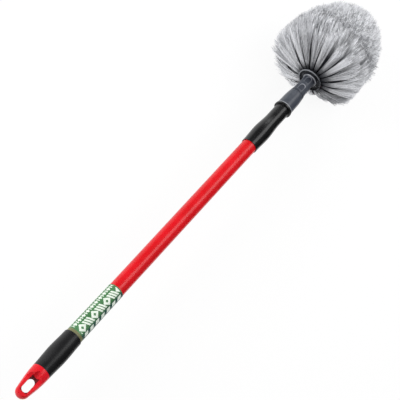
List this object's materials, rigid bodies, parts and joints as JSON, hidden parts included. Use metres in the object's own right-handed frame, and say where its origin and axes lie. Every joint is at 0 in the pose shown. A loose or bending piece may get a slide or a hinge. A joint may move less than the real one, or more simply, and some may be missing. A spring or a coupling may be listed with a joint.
{
  "type": "cobweb brush",
  "caption": "Telescopic cobweb brush: a twist-lock pole with a hanging cap, grip and collar, and a screw-on head with a dome of radiating soft bristles.",
  "frame": {"origin": "centre of the hanging hole, on the pole's axis, midway between the two flats of the end cap", "axes": "+X along the pole towards the brush, +Z square to the flats beside the hanging hole"},
  "size_m": [0.9133, 0.1656, 0.1621],
  "materials": {
    "red_plastic": "satin red moulding",
    "grip_rubber": "matt black soft grip",
    "red_paint": "glossy red powder coat",
    "label_film": "printed film sleeve",
    "collar_plastic": "satin black moulding",
    "natural_nylon": "natural nylon",
    "lock_plastic": "black moulding",
    "plated_steel": "plated tube",
    "zinc_steel": "zinc plated",
    "tip_plastic": "black moulding",
    "socket_plastic": "satin blue-grey moulding",
    "hub_plastic": "dark grey moulding",
    "anchor_wire": "flat brass wire",
    "bristle_fibre": "light grey soft fibre with crimped ends"
  },
  "bodies": {
    "outer_pole": {"end_cap": "red_plastic", "grip_sleeve": "grip_rubber", "outer_tube": "red_paint", "label_wrap": "label_film", "collar_sleeve": "collar_plastic", "collar_bush": "natural_nylon"},
    "lock_sleeve": {"expander_sleeve": "natural_nylon"},
    "lock_cone": {"expander_cone": "lock_plastic"},
    "inner_pole": {"inner_tube": "plated_steel", "lock_plug": "lock_plastic", "lock_spindle": "zinc_steel", "stop_nut": "zinc_steel", "thread_tip": "tip_plastic"},
    "head_ring": {"hub_ring": "socket_plastic"},
    "brush_head": {"head_socket": "socket_plastic", "hub_core": "hub_plastic", "hub_screw": "zinc_steel", "tuft_anchors": "anchor_wire", "bristle_row_1": "bristle_fibre", "bristle_row_2": "bristle_fibre", "bristle_row_3": "bristle_fibre", "bristle_row_4": "bristle_fibre", "bristle_row_5": "bristle_fibre", "bristle_row_6": "bristle_fibre"}
  },
  "joints": [
    {"name": "extend", "type": "slide", "parent": "outer_pole", "child": "lock_sleeve", "axis": [1, 0, 0], "range_m": [0, 0.45]},
    {"name": "twist_lock", "type": "hinge", "parent": "lock_sleeve", "child": "inner_pole", "pos_m": [0.07, 0, 0], "axis": [1, 0, 0], "range_deg": [0, 180]},
    {"name": "cone_travel", "type": "slide", "parent": "lock_sleeve", "child": "lock_cone", "axis": [1, 0, 0], "range_m": [0, 0.001]},
    {"name": "head_travel", "type": "slide", "parent": "inner_pole", "child": "head_ring", "axis": [1, 0, 0], "range_m": [0, 0.025]},
    {"name": "head_unscrew", "type": "hinge", "parent": "head_ring", "child": "brush_head", "pos_m": [0.65, 0, 0], "axis": [1, 0, 0], "range_deg": [0, 1800]}
  ],
  "couplings": [
    {"joint": "cone_travel", "follows": "twist_lock", "m_per_rad": 0.00031831},
    {"joint": "head_travel", "follows": "head_unscrew", "m_per_rad": 0.00079577}
  ]
}
